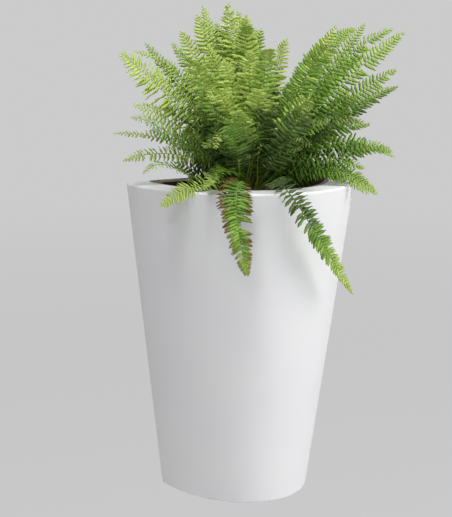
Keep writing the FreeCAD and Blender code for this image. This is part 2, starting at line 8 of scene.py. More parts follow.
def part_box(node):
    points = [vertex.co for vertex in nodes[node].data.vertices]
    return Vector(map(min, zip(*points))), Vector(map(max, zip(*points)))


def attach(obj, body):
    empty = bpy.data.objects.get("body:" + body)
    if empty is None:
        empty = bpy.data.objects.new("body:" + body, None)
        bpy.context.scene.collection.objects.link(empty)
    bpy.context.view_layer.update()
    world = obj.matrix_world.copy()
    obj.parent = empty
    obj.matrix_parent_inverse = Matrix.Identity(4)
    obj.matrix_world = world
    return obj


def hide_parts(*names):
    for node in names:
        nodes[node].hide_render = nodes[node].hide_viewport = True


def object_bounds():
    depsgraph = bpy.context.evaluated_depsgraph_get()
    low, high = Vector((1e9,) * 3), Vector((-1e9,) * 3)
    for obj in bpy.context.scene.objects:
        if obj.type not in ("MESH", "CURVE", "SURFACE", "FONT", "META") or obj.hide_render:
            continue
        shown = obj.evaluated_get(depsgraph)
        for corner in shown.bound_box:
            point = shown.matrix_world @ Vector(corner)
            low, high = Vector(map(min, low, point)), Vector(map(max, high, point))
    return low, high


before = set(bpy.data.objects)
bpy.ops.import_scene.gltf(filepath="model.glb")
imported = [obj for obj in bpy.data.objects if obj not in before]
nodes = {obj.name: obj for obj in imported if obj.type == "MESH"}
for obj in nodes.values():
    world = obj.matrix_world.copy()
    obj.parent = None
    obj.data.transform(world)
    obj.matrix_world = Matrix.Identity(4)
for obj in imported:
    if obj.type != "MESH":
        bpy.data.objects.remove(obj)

cad_box = [list(corner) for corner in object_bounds()]

# ------------------------------------------------------------------ camera
# The planter is seen from its left front, a little above the rim, through a long lens.
# Places are metres from the middle of the rail's back.
camera = bpy.data.objects.new("camera", bpy.data.cameras.new("camera"))
camera.data.lens = 87.2
camera.location = (-1.1332, -1.8180, 0.3670)
turned_right, tilted_down, rolled = (math.radians(angle) for angle in (32.043, 11.2, 0.714))
aim = Matrix.Rotation(-turned_right, 4, "Z") @ Matrix.Rotation(math.pi / 2 - tilted_down, 4, "X")
camera.rotation_mode = "QUATERNION"
camera.rotation_quaternion = (aim @ Matrix.Rotation(rolled, 4, "Z")).to_quaternion()
bpy.context.scene.collection.objects.link(camera)
bpy.context.scene.camera = camera
bpy.context.scene.view_settings.view_transform = "Standard"


# ------------------------------------------------------------------ light
# Plain studio light: a big soft lamp at the right front, one overhead, two weak ones at the
# left, and a pale room. Rays that the camera sees, also in a reflection, meet the backdrop's
# own grey.
BACKDROP_GREY = 0.60
ROOM_LIGHT = 0.24


def lamp(name, place, aimed_at, width, watts):
    light = bpy.data.lights.new(name, "AREA")
    light.shape = "DISK"
    light.size = width
    light.energy = watts
    holder = bpy.data.objects.new(name, light)
    holder.location = place
    holder.rotation_mode = "QUATERNION"
    holder.rotation_quaternion = (Vector(aimed_at) - Vector(place)).to_track_quat("-Z", "Y")
    bpy.context.scene.collection.objects.link(holder)


lamp("right_lamp", (1.7, -2.2, 1.3), (0.0, -0.1, 0.0), 1.7, 63)
lamp("top_lamp", (-0.75, -0.70, 2.5), (0.0, -0.1, 0.2), 0.8, 38)
lamp("left_lamp", (-1.6, -1.5, 1.9), (0.0, -0.1, 0.2), 0.6, 9)
lamp("low_lamp", (-1.5, -1.9, -1.1), (0.0, -0.1, -0.35), 1.2, 14)


def seen_rays(tree):
    """1 for rays that show a surface to the camera, straight or by way of a reflection."""
    path = tree.nodes.new("ShaderNodeLightPath")
    total = path.outputs["Is Camera Ray"]
    for kind in ("Is Glossy Ray", "Is Transmission Ray"):
        most = tree.nodes.new("ShaderNodeMath")
        most.operation = "MAXIMUM"
        tree.links.new(total, most.inputs[0])
        tree.links.new(path.outputs[kind], most.inputs[1])
        total = most.outputs[0]
    return total


room = bpy.data.worlds.new("room")
bpy.context.scene.world = room
room.use_nodes = True
background = room.node_tree.nodes["Background"]
background.inputs["Color"].default_value = (1.0, 1.0, 1.0, 1.0)
level = room.node_tree.nodes.new("ShaderNodeMix")
level.inputs["A"].default_value = ROOM_LIGHT
level.inputs["B"].default_value = BACKDROP_GREY
room.node_tree.links.new(seen_rays(room.node_tree), level.inputs["Factor"])
room.node_tree.links.new(level.outputs["Result"], background.inputs["Strength"])


# ------------------------------------------------------------------ floor
# A plain pale floor well below the planter, which hangs on its rail. The camera sees it
# mostly in the backdrop's grey, less so near the planter, where its own paint takes shadow.
FLOOR_DROP = 0.45
FLOOR_HALF = 40.0
SHADOW_NEAR, SHADOW_FAR = 1.0, 6.0
NEAR_GLOW = 0.8

floor_level = cad_box[0][2] - FLOOR_DROP
floor_mesh = bpy.data.meshes.new("floor")
corners = [(x * FLOOR_HALF, y * FLOOR_HALF, floor_level)
           for x, y in ((-1, -1), (1, -1), (1, 1), (-1, 1))]
floor_mesh.from_pydata(corners, [], [(0, 1, 2, 3)])
floor = bpy.data.objects.new("floor", floor_mesh)
bpy.context.scene.collection.objects.link(floor)
floor_paint = bpy.data.materials.new("floor_paint")
floor_paint.use_nodes = True
tree = floor_paint.node_tree
paint = tree.nodes["Principled BSDF"]
paint.inputs["Base Color"].default_value = (0.72, 0.72, 0.73, 1.0)
paint.inputs["Roughness"].default_value = 0.9
glow = tree.nodes.new("ShaderNodeEmission")
glow.inputs["Color"].default_value = (1.0, 1.0, 1.0, 1.0)
glow.inputs["Strength"].default_value = BACKDROP_GREY
distance = tree.nodes.new("ShaderNodeVectorMath")
distance.operation = "LENGTH"
tree.links.new(tree.nodes.new("ShaderNodeNewGeometry").outputs["Position"], distance.inputs[0])
fade = tree.nodes.new("ShaderNodeMapRange")
for socket, value in (("From Min", SHADOW_NEAR), ("From Max", SHADOW_FAR),
                      ("To Min", NEAR_GLOW), ("To Max", 1.0)):
    fade.inputs[socket].default_value = value
tree.links.new(distance.outputs["Value"], fade.inputs["Value"])
share = tree.nodes.new("ShaderNodeMath")
share.operation = "MULTIPLY"
tree.links.new(seen_rays(tree), share.inputs[0])
tree.links.new(fade.outputs["Result"], share.inputs[1])
either = tree.nodes.new("ShaderNodeMixShader")
tree.links.new(share.outputs[0], either.inputs["Fac"])
tree.links.new(paint.outputs["BSDF"], either.inputs[1])
tree.links.new(glow.outputs["Emission"], either.inputs[2])
tree.links.new(either.outputs["Shader"], tree.nodes["Material Output"].inputs["Surface"])
floor.data.materials.append(floor_paint)


# ------------------------------------------------------------------ shell
# One tall moulding of white plastic with a D-shaped plan and a wide flat rim. Its satin
# skin has the faint clouds and pores of the mould.

class Finish:
    """A material: its shader, and short ways to add the nodes that feed it."""

    def __init__(self, name, color, roughness, **settings):
        self.material = bpy.data.materials.new(name)
        self.material.use_nodes = True
        self.tree = self.material.node_tree
        self.shader = self.tree.nodes["Principled BSDF"]
        self.place = self.tree.nodes.new("ShaderNodeTexCoord").outputs["Object"]
        self.set("Base Color", color)
        self.set("Roughness", roughness)
        for socket, value in settings.items():
            self.set(socket.replace("_", " "), value)

    def feed(self, node, socket, value):
        """Gives a socket another node's output, a colour or a number."""
        if isinstance(value, bpy.types.NodeSocket):
            self.tree.links.new(value, node.inputs[socket])
        elif isinstance(value, tuple) and len(node.inputs[socket].default_value) == 4:
            node.inputs[socket].default_value = (*value, 1.0)
        else:
            node.inputs[socket].default_value = value

    def set(self, socket, value):
        self.feed(self.shader, socket, value)

    def add(self, kind, output, sockets, **settings):
        node = self.tree.nodes.new("ShaderNode" + kind)
        for name, value in settings.items():
            setattr(node, name, value)
        for socket, value in sockets.items():
            self.feed(node, socket, value)
        return node.outputs[output]

    def clouds(self, scale, detail=3.0, stretch=(1.0, 1.0, 1.0)):
        """Noise from 0 to 1, with the given number of lumps to a metre."""
        place = self.add("Mapping", "Vector", {"Vector": self.place, "Scale": stretch})
        return self.add("TexNoise", "Fac", {"Vector": place, "Scale": scale, "Detail": detail})

    def cells(self, scale, output="Distance", randomness=1.0):
        return self.add("TexVoronoi", output, {"Vector": self.place, "Scale": scale,
                                               "Randomness": randomness})

    def spread(self, source, low, high, out_low=0.0, out_high=1.0):
        """Stretches a stretch of the source's range over another one."""
        sockets = {"Value": source, "From Min": low, "From Max": high,
                   "To Min": out_low, "To Max": out_high}
        return self.add("MapRange", "Result", sockets)

    def between(self, share, low, high):
        """A colour between two others."""
        node = self.tree.nodes.new("ShaderNodeMix")
        node.data_type = "RGBA"
        self.feed(node, 0, share)
        self.feed(node, 6, low)
        self.feed(node, 7, high)
        return node.outputs[2]

    def product(self, first, second):
        return self.add("Math", 0, {0: first, 1: second}, operation="MULTIPLY")

    def relief(self, height, depth, strength=1.0):
        """Bumps of the given depth in metres."""
        self.set("Normal", self.add("Bump", "Normal", {"Height": height, "Distance": depth,
                                                       "Strength": strength}))


def finish_node(node, finish):
    """Paints a piece that is shown in its own form."""
    piece = nodes[node]
    piece.data.materials.clear()
    piece.data.materials.append(finish.material)


white_plastic = Finish("white_plastic", (0.86, 0.86, 0.87), 0.4)
mould_clouds = white_plastic.clouds(9.0)
white_plastic.set("Base Color", white_plastic.between(
    white_plastic.spread(mould_clouds, 0.3, 0.7), (0.845, 0.845, 0.86), (0.87, 0.87, 0.875)))
white_plastic.set("Roughness", white_plastic.spread(mould_clouds, 0.3, 0.7, 0.42, 0.50))
white_plastic.relief(white_plastic.clouds(1400.0, 2.0), 0.00004)
finish_node("shell", white_plastic)


# ------------------------------------------------------------------ inner pot
# A dark brown pot of recycled plastic that hangs by its lip in the shell's rim. Its matte
# skin is lighter and darker in faint upright streaks.
brown_plastic = Finish("brown_plastic", (0.08, 0.047, 0.012), 0.55)
flow_marks = brown_plastic.clouds(26.0, 4.0, (1.0, 1.0, 0.25))
brown_plastic.set("Base Color", brown_plastic.between(
    brown_plastic.spread(flow_marks, 0.35, 0.7), (0.066, 0.038, 0.009), (0.100, 0.060, 0.017)))
brown_plastic.set("Roughness", brown_plastic.spread(flow_marks, 0.3, 0.7, 0.46, 0.62))
brown_plastic.relief(brown_plastic.clouds(900.0, 3.0), 0.00008)
finish_node("liner", brown_plastic)


# ------------------------------------------------------------------ rail and hook
# Strips of galvanised steel, folded cold: the rail has four screw holes, and the hook on the
# shell's back hangs behind its lip. The zinc has crystallised in flat grey patches.
galvanised = Finish("galvanised", (0.56, 0.57, 0.58), 0.42, Metallic=1.0)
crystals = galvanised.cells(210.0, "Color")
patch = galvanised.add("SeparateColor", "Red", {"Color": crystals})
galvanised.set("Base Color", galvanised.between(patch, (0.47, 0.48, 0.50), (0.66, 0.67, 0.68)))
galvanised.set("Roughness", galvanised.spread(patch, 0.0, 1.0, 0.34, 0.52))
galvanised.relief(galvanised.clouds(500.0, 4.0), 0.00005)
for node in ("wall_rail", "hanger_hook"):
    finish_node(node, galvanised)


# ------------------------------------------------------------------ screws, washers, inserts
# Four zinc plated socket screws with their washers pull the hook against brass inserts that
# were pressed into the shell. The turned faces keep fine rings.
zinc_plated = Finish("zinc_plated", (0.66, 0.66, 0.65), 0.3, Metallic=1.0)
turning_marks = zinc_plated.clouds(1500.0, 2.0, (1.0, 6.0, 1.0))
zinc_plated.set("Base Color", zinc_plated.between(
    zinc_plated.clouds(300.0), (0.58, 0.59, 0.60), (0.74, 0.72, 0.66)))
zinc_plated.set("Roughness", zinc_plated.spread(turning_marks, 0.3, 0.7, 0.22, 0.38))
zinc_plated.relief(turning_marks, 0.00003)
for node in ("hanger_screws", "hanger_washers"):
    finish_node(node, zinc_plated)

turned_brass = Finish("turned_brass", (0.72, 0.53, 0.26), 0.3, Metallic=1.0)
tarnish = turned_brass.clouds(240.0, 4.0)
turned_brass.set("Base Color", turned_brass.between(
    turned_brass.spread(tarnish, 0.4, 0.7), (0.76, 0.56, 0.27), (0.46, 0.31, 0.14)))
turned_brass.set("Roughness", turned_brass.spread(tarnish, 0.3, 0.7, 0.24, 0.45))
turned_brass.relief(turned_brass.clouds(1500.0, 2.0, (1.0, 6.0, 1.0)), 0.00003)
finish_node("threaded_inserts", turned_brass)


# ------------------------------------------------------------------ bumpers, plug and seal
# Rubber buttons low on the back keep the planter plumb on its rail. A grey plastic plug with
# a slot for a coin closes the drain, on a flat ring of the same rubber.
rubber = Finish("rubber", (0.03, 0.03, 0.03), 0.75)
bloom = rubber.clouds(160.0, 5.0)
rubber.set("Base Color", rubber.between(
    rubber.spread(bloom, 0.4, 0.75), (0.022, 0.022, 0.022), (0.06, 0.06, 0.062)))
rubber.set("Roughness", rubber.spread(bloom, 0.3, 0.7, 0.65, 0.85))
rubber.relief(rubber.clouds(1200.0), 0.0001)
for node in ("wall_bumpers", "drain_seal"):
    finish_node(node, rubber)

grey_plastic = Finish("grey_plastic", (0.55, 0.55, 0.56), 0.45)
sink_marks = grey_plastic.clouds(60.0)
grey_plastic.set("Base Color", grey_plastic.between(
    grey_plastic.spread(sink_marks, 0.3, 0.7), (0.52, 0.52, 0.535), (0.58, 0.58, 0.585)))
grey_plastic.set("Roughness", grey_plastic.spread(sink_marks, 0.3, 0.7, 0.38, 0.52))
grey_plastic.relief(grey_plastic.clouds(1100.0), 0.00006)
finish_node("drain_plug", grey_plastic)


# ------------------------------------------------------------------ false floor
# A perforated plate of black recycled plastic on six feet. It has grey flecks of the older
# plastic that it was made from.
recycled = Finish("recycled", (0.035, 0.035, 0.035), 0.6)
flecks = recycled.spread(recycled.cells(420.0), 0.0, 0.16, 1.0, 0.0)
recycled.set("Base Color", recycled.between(flecks, (0.026, 0.026, 0.027), (0.13, 0.13, 0.125)))
recycled.set("Roughness", recycled.spread(recycled.clouds(80.0), 0.3, 0.7, 0.5, 0.7))
recycled.relief(recycled.clouds(700.0), 0.0001)
finish_node("drainage_grid", recycled)


# ------------------------------------------------------------------ filter cloth
# A sheet of pressed white felt, cut to the pot's plan: flat at the back and round in front.
# It lies loose on the false floor and keeps the soil out of the water.
TURNS = 240
POT_CORNER = 0.011
CORNER_POWER = 24
FELT_WAVE = 0.0004
EDGE_ROUND = 0.0006
EYE = 0.001     # radius of the small flat face that closes the middle of a round lid

felt_low, felt_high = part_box("drainage_fleece")
soil_low, soil_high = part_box("potting_soil")
ball_low, ball_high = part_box("root_ball")
plant = np.array([(ball_low.x + ball_high.x) / 2, (ball_low.y + ball_high.y) / 2])
turns = np.linspace(0.0, 2 * math.pi, TURNS, endpoint=False)
spokes = np.stack([np.cos(turns), np.sin(turns)], axis=1)
dice = np.random.RandomState(11)


class Skins:
    """Gathers closed skins for one mesh. Each is a row of rings, with a flat face at either
    end. Tints are four numbers to a point, for the material to read."""

    def __init__(self):
        self.points, self.tints, self.faces, self.count = [], [], [], 0

    def add(self, rings, tints=None):
        """Skins with places of shape (skin, step, side, 3) and tints of (..., 4)."""
        skins, steps, sides = rings.shape[:3]
        step, side = np.meshgrid(np.arange(steps - 1), np.arange(sides), indexing="ij")
        after = (side + 1) % sides
        walls = np.stack([step * sides + side, step * sides + after,
                          (step + 1) * sides + after, (step + 1) * sides + side], -1).reshape(-1, 4)
        first = self.count + np.arange(skins)[:, None, None] * (steps * sides)
        self.faces += (first + walls).reshape(-1, 4).tolist()
        start = np.arange(sides)[::-1]
        end = np.arange(sides) + (steps - 1) * sides
        self.faces += (first[:, 0] + start).tolist() + (first[:, 0] + end).tolist()
        self.points.append(rings.reshape(-1, 3))
        self.tints.append((np.zeros(rings.shape[:3] + (4,)) if tints is None else tints).reshape(-1, 4))
        self.count += skins * steps * sides

    def make(self, name, finish, body, slot, *replaced):
        """The piece itself, with its body and the node that it stands in for. The slot is not used."""
        mesh = bpy.data.meshes.new(name)
        mesh.from_pydata(np.concatenate(self.points).tolist(), [], self.faces)
        tint = mesh.attributes.new("tint", "FLOAT_COLOR", "POINT")
        tint.data.foreach_set("color", np.concatenate(self.tints).astype(np.float32).ravel())
        mesh.materials.append(finish.material)
        mesh.polygons.foreach_set("use_smooth", [True] * len(mesh.polygons))
        piece = bpy.data.objects.new(name, mesh)
        bpy.context.scene.collection.objects.link(piece)
        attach(piece, body)
        if replaced:
            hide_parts(*replaced)
        return piece


def lumps(places, scale, octaves=4):
    """Fractal noise at each place, about -1 to 1, with the given number of lumps to a metre."""
    flat = places.reshape(-1, 3) * scale
    values = [noise.fractal(Vector(place), 1.0, 2.0, octaves) for place in flat.tolist()]
    return np.array(values).reshape(places.shape[:-1])


def pot_ring(level, inset):
    """The inside of the pot at a level, as places in all directions from the plant."""
    share = (level - felt_high.z) / (soil_high.z - felt_high.z)
    half = felt_high.x + (soil_high.x - felt_high.x) * share - inset
    front = felt_low.y + (soil_low.y - felt_low.y) * share + inset
    back = soil_high.y - inset
    belly = back - POT_CORNER
    across, deep = spokes[:, 0] / half, spokes[:, 1] / (belly - front)
    from_x, from_y = plant[0] / half, (plant[1] - belly) / (belly - front)
    square = across ** 2 + deep ** 2
    slant = from_x * across + from_y * deep
    to_front = (np.sqrt(slant ** 2 - square * (from_x ** 2 + from_y ** 2 - 1.0)) - slant) / square
    sideways = np.where(np.abs(spokes[:, 0]) < 1e-6, 1e-6, spokes[:, 0])
    to_side = (np.sign(sideways) * half - plant[0]) / sideways
    reach = np.where(plant[1] + spokes[:, 1] * to_front > belly, to_side, to_front)
    to_back = (back - plant[1]) / np.maximum(spokes[:, 1], 1e-6)
    reach = (reach ** -CORNER_POWER + to_back ** -CORNER_POWER) ** (-1.0 / CORNER_POWER)
    return np.column_stack([plant + spokes * reach[:, None], np.full(TURNS, level)])


def disc(radius, level):
    return np.column_stack([plant + spokes * radius, np.full(TURNS, level)])


def flat_rings(inner, outer, shares):
    return [inner * (1.0 - share) + outer * share for share in shares]


under = flat_rings(disc(EYE, felt_low.z), pot_ring(felt_low.z, EDGE_ROUND), np.linspace(0, 1, 24))
over = flat_rings(pot_ring(felt_high.z, EDGE_ROUND), disc(EYE, felt_high.z), np.linspace(0, 1, 24))
edge = [pot_ring(level, 0.0) for level in (felt_low.z + EDGE_ROUND, felt_high.z - EDGE_ROUND)]
felt = np.array(under + edge + over)
top_side = felt[..., 2] > (felt_low.z + felt_high.z) / 2
felt[..., 2] -= np.where(top_side, FELT_WAVE * (0.5 + 0.5 * lumps(felt, 60.0)), 0.0)

pressed_felt = Finish("pressed_felt", (0.70, 0.70, 0.68), 0.95)
fibres = pressed_felt.clouds(900.0, 6.0, (1.0, 0.22, 1.0))
crossing = pressed_felt.clouds(900.0, 6.0, (0.22, 1.0, 1.0))
matted = pressed_felt.add("Math", 0, {0: fibres, 1: crossing}, operation="MAXIMUM")
pressed_felt.set("Base Color", pressed_felt.between(
    pressed_felt.spread(matted, 0.4, 0.75), (0.58, 0.575, 0.55), (0.78, 0.78, 0.76)))
pressed_felt.set("Sheen Weight", 0.3)
pressed_felt.relief(matted, 0.0006)
cloth = Skins()
cloth.add(felt[None])
filter_cloth = cloth.make("filter_cloth", pressed_felt, "liner", "filter_cloth", "drainage_fleece")


# ------------------------------------------------------------------ soil
# Moist reddish potting soil fills the inner pot from the cloth up to 25 mm under the rim.
# Crumbs and threads of coir lie on it. It keeps the socket that the root ball stands in.
SOIL_HILLS = 0.0035
SOIL_GRAIN = 0.0012
SOIL_ROUND = 0.002
SIDE_GRAIN = 0.0009
HILL_SCALE = 45.0
GRAIN_SCALE = 420.0
HILL_DROP = 0.6
FLOOR_RINGS = 12
CLOTH_PLAY = 0.0004
SOCKET_PLAY = 0.0004
BALL_FOOT = 0.046
CRUMBS = 420
CRUMB_SIDES = 7
CRUMB_SIZES = (0.0008, 0.0028)
THREADS = 130
THREAD_STEPS = 9
THREAD_RADIUS = 0.00026
TUBE_SIDES = 5

ball_top = (ball_high.x - ball_low.x) / 2


def ball_radius(level):
    share = (level - ball_low.z) / (ball_high.z - ball_low.z)
    return BALL_FOOT + (ball_top - BALL_FOOT) * share


soil_rings = flat_rings(disc(EYE, soil_low.z), pot_ring(soil_low.z, SOIL_ROUND),
                        np.linspace(0, 1, FLOOR_RINGS))
soil_rings += [pot_ring(level, 0.0)
               for level in np.linspace(soil_low.z + SOIL_ROUND, soil_high.z - 0.001, 90)]
wall_rings = len(soil_rings)
soil_rings += flat_rings(pot_ring(soil_high.z, SOIL_ROUND), disc(ball_top + SOIL_ROUND, soil_high.z),
                         np.linspace(0, 1, 40))
socket_from = len(soil_rings)
soil_rings += [disc(ball_radius(level) + SOCKET_PLAY, level)
               for level in np.linspace(soil_high.z - 0.0005, ball_low.z, 30)]
soil_rings.append(disc(EYE, ball_low.z - SOCKET_PLAY))
ground = np.array(soil_rings)
hills = lumps(ground, HILL_SCALE)
grain = lumps(ground, GRAIN_SCALE)
surface = slice(wall_rings, socket_from)
toward = plant - ground[:wall_rings, :, :2]
toward /= np.linalg.norm(toward, axis=-1, keepdims=True)
side = slice(FLOOR_RINGS, wall_rings)
ground[side, :, :2] += toward[FLOOR_RINGS:] * (SIDE_GRAIN * (1.0 + grain[side]))[..., None]
ground[surface, :, 2] += SOIL_HILLS * (hills[surface] - HILL_DROP) + SOIL_GRAIN * grain[surface]
ground[:FLOOR_RINGS, :, 2] += CLOTH_PLAY

moist_soil = Finish("moist_soil", (0.05, 0.03, 0.018), 0.9)
clods = moist_soil.clouds(240.0, 6.0)
soil_color = moist_soil.between(
    moist_soil.spread(clods, 0.35, 0.68), (0.028, 0.014, 0.007), (0.13, 0.060, 0.027))
soil_color = moist_soil.between(
    moist_soil.spread(moist_soil.cells(650.0), 0.0, 0.22, 0.75, 0.0), soil_color, (0.19, 0.095, 0.042))
moist_soil.set("Base Color", soil_color)
moist_soil.set("Roughness", moist_soil.spread(clods, 0.3, 0.7, 0.72, 0.98))
moist_soil.relief(moist_soil.clouds(800.0, 5.0), 0.0012)


def crumb(place, size):
    """A rough lump, as rings from its foot to its top."""
    climbs = np.radians([-75.0, -35.0, 5.0, 42.0, 78.0])[:, None]
    around = np.arange(CRUMB_SIDES) * (2 * math.pi / CRUMB_SIDES) + dice.uniform(0, 6.28)
    radius = size * dice.uniform(0.7, 1.15, (len(climbs), CRUMB_SIDES))
    rings = np.stack([radius * np.cos(climbs) * np.cos(around), radius * np.cos(climbs) * np.sin(around),
                      radius * np.sin(climbs) * np.full(CRUMB_SIDES, 0.75)], axis=-1)
    return rings + place


def unit(vectors):
    return vectors / np.maximum(np.linalg.norm(vectors, axis=-1, keepdims=True), 1e-12)


def tube(line, radius, sides=TUBE_SIDES):
    """Rings round a line of places."""
    ways = unit(np.gradient(line, axis=0))
    aside = unit(np.cross(ways, np.array([0.31, 0.17, 0.94])))
    above = np.cross(aside, ways)
    angles = np.arange(sides) * (2 * math.pi / sides)
    ring = (aside[:, None] * np.cos(angles)[None, :, None]
            - above[:, None] * np.sin(angles)[None, :, None])
    return line[:, None] + ring * np.broadcast_to(radius, len(line))[:, None, None]


def scatter(skins, rows, crumbs, threads):
    """Strews crumbs and threads over a surface that is given as rows of places."""
    spots = rows.reshape(-1, 3)
    picked = spots[dice.randint(0, len(spots), crumbs)]
    skins.add(np.array([crumb(spot + (0, 0, size * 0.3), size)
                        for spot, size in zip(picked, dice.uniform(*CRUMB_SIZES, crumbs))]))
    strands = []
    for spot in spots[dice.randint(0, len(spots), threads)]:
        turn = dice.uniform(0, 6.28) + dice.uniform(-1.6, 1.6) * np.linspace(0, 1, THREAD_STEPS)
        steps = np.column_stack([np.cos(turn), np.sin(turn),
                                 dice.uniform(-0.10, 0.25) * np.ones(THREAD_STEPS)])
        line = spot + (0, 0, 0.0006) + np.cumsum(steps, axis=0) * dice.uniform(0.0009, 0.0019)
        strands.append(tube(line, THREAD_RADIUS))
    skins.add(np.array(strands))


bed = Skins()
bed.add(ground[None])
scatter(bed, ground[wall_rings + 4:socket_from - 3], CRUMBS, THREADS)
bed.make("soil_bed", moist_soil, "liner", "soil", "potting_soil")


# ------------------------------------------------------------------ root ball
# The cone of matted roots and soil that the fern was potted with. Fine roots run down its
# side and cross each other.
BALL_SHRINK = 0.0012
BALL_DENTS = 0.0034
ROOTS = 90
ROOT_STEPS = 40
ROOT_RADIUS = (0.00085, 0.0003)


def ball_place(turn, level):
    """A place on the dented side of the root ball."""
    radius = ball_radius(level)
    place = np.stack([plant[0] + radius * np.cos(turn), plant[1] + radius * np.sin(turn), level], axis=-1)
    dent = BALL_SHRINK + BALL_DENTS * np.clip(0.5 + 0.5 * lumps(place, 75.0), 0.0, 1.0)
    inward = np.stack([-np.cos(turn), -np.sin(turn), np.zeros_like(turn)], axis=-1)
    return place + inward * dent[..., None]


levels = np.linspace(ball_low.z + 0.001, ball_high.z - 0.001, 60)
side_rings = list(ball_place(*np.meshgrid(turns, levels)))
foot_rings = flat_rings(disc(EYE, ball_low.z), side_rings[0], np.linspace(0, 1, 10))[:-1]
lid_rings = flat_rings(side_rings[-1], disc(EYE, ball_high.z), np.linspace(0, 1, 26))[1:]
lid = np.array(lid_rings)
lid_hills = SOIL_HILLS * (lumps(lid, HILL_SCALE) - HILL_DROP) * 0.7
lid[..., 2] = ball_high.z + lid_hills + SOIL_GRAIN * lumps(lid, GRAIN_SCALE)
clump = Skins()
clump.add(np.array(foot_rings + side_rings + list(lid))[None])
scatter(clump, lid[1:18], CRUMBS // 3, THREADS // 3)
roots = []
for _ in range(ROOTS):
    top = dice.uniform(ball_low.z + 0.04, ball_high.z - 0.002)
    level = np.linspace(top, max(top - dice.uniform(0.03, 0.10), ball_low.z + 0.002), ROOT_STEPS)
    drift = (np.cumsum(dice.normal(0.0, 0.035, ROOT_STEPS))
             + dice.uniform(-0.5, 0.5) * np.linspace(0, 1, ROOT_STEPS))
    line = ball_place(dice.uniform(0, 6.28) + drift, level)
    roots.append(tube(line, np.linspace(*ROOT_RADIUS, ROOT_STEPS)))
clump.add(np.array(roots), np.ones((ROOTS, ROOT_STEPS, TUBE_SIDES, 4)))

matted_roots = Finish("matted_roots", (0.12, 0.075, 0.04), 0.88)
is_root = matted_roots.add("SeparateColor", "Red", {"Color": matted_roots.add(
    "Attribute", "Color", {}, attribute_name="tint")})
clods = matted_roots.clouds(260.0, 6.0)
ball_color = matted_roots.between(
    matted_roots.spread(clods, 0.35, 0.68), (0.030, 0.015, 0.008), (0.13, 0.065, 0.030))
matted_roots.set("Base Color", matted_roots.between(is_root, ball_color, (0.34, 0.22, 0.11)))
matted_roots.set("Roughness", matted_roots.spread(clods, 0.3, 0.7, 0.72, 0.96))
matted_roots.relief(matted_roots.clouds(900.0, 5.0), 0.001)
clump.make("root_clump", matted_roots, "fern", "roots", "root_ball")


# ------------------------------------------------------------------ crown
# The short rootstock, a dome covered in brown papery scales, with the stubs of old stalks. It
# sits in the middle of the root ball, and all stalks spring from it.
CORE_SHARE = 0.93
CORE_LUMPS = 0.0012
SCALES = 420
SCALE_HALF = 0.0011
SCALE_THICK = 0.00012
STUBS = 16
STUB_RADIUS = 0.0014
STUB_SIDES = 7

crown_low, crown_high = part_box("fern_crown")
crown_radius = (crown_high.x - crown_low.x) / 2
crown_middle = np.array([plant[0], plant[1], crown_low.z])
UP = np.array([0.0, 0.0, 1.0])


def heading(bearing, rise):
    """The direction with this bearing from +X and this rise above level, in degrees."""
    turn, climb = np.radians(bearing), np.radians(rise)
    return np.stack([np.cos(climb) * np.cos(turn), np.cos(climb) * np.sin(turn),
                     np.sin(climb) * np.ones_like(turn)], axis=-1)


core_radius = crown_radius * CORE_SHARE
core_rings = [disc(EYE, crown_low.z)]
for climb in np.radians(np.linspace(0, 88, 16)):
    core_rings.append(disc(core_radius * math.cos(climb), crown_low.z + core_radius * math.sin(climb)))
core = np.array(core_rings)
core[1:] += unit(core[1:] - crown_middle) * (CORE_LUMPS * lumps(core[1:], 160.0))[..., None]
stock = Skins()
stock.add(core[None])
outward = heading(dice.uniform(0, 360, SCALES), np.degrees(np.arcsin(dice.uniform(0.02, 0.98, SCALES))))
upward = unit(UP - outward * outward[:, 2:3] + dice.normal(0, 0.35, (SCALES, 3)))
length = dice.uniform(0.005, 0.010, SCALES)[:, None, None]
t = np.linspace(0, 1, 5)[None, :, None]
spine = (crown_middle + outward * crown_radius * 0.90)[:, None]
spine = spine + length * (upward[:, None] * t + outward[:, None] * 0.45 * t ** 2)
across = unit(np.cross(outward, upward))[:, None] * (SCALE_HALF * (1.0 - t ** 1.6) + 0.00008)
thin = outward[:, None] * SCALE_THICK
stock.add(np.stack([spine - across, spine + thin, spine + across, spine - thin], axis=2))
stubs = []
for bearing, rise, reach in zip(dice.uniform(0, 360, STUBS), dice.uniform(15, 70, STUBS),
                                dice.uniform(0.006, 0.016, STUBS)):
    way = heading(bearing, rise)
    line = crown_middle + way * np.linspace(crown_radius * 0.85, crown_radius + reach, 6)[:, None]
    stubs.append(tube(line, STUB_RADIUS, STUB_SIDES))
stock.add(np.array(stubs))

papery_scales = Finish("papery_scales", (0.16, 0.09, 0.04), 0.7)
age = papery_scales.clouds(330.0, 5.0)
papery_scales.set("Base Color", papery_scales.between(
    papery_scales.spread(age, 0.35, 0.7), (0.055, 0.026, 0.011), (0.24, 0.13, 0.055)))
papery_scales.set("Roughness", papery_scales.spread(age, 0.3, 0.7, 0.6, 0.85))
papery_scales.relief(papery_scales.clouds(1300.0, 4.0, (1.0, 1.0, 0.2)), 0.0003)
stock.make("rootstock", papery_scales, "fern", "crown", "fern_crown")
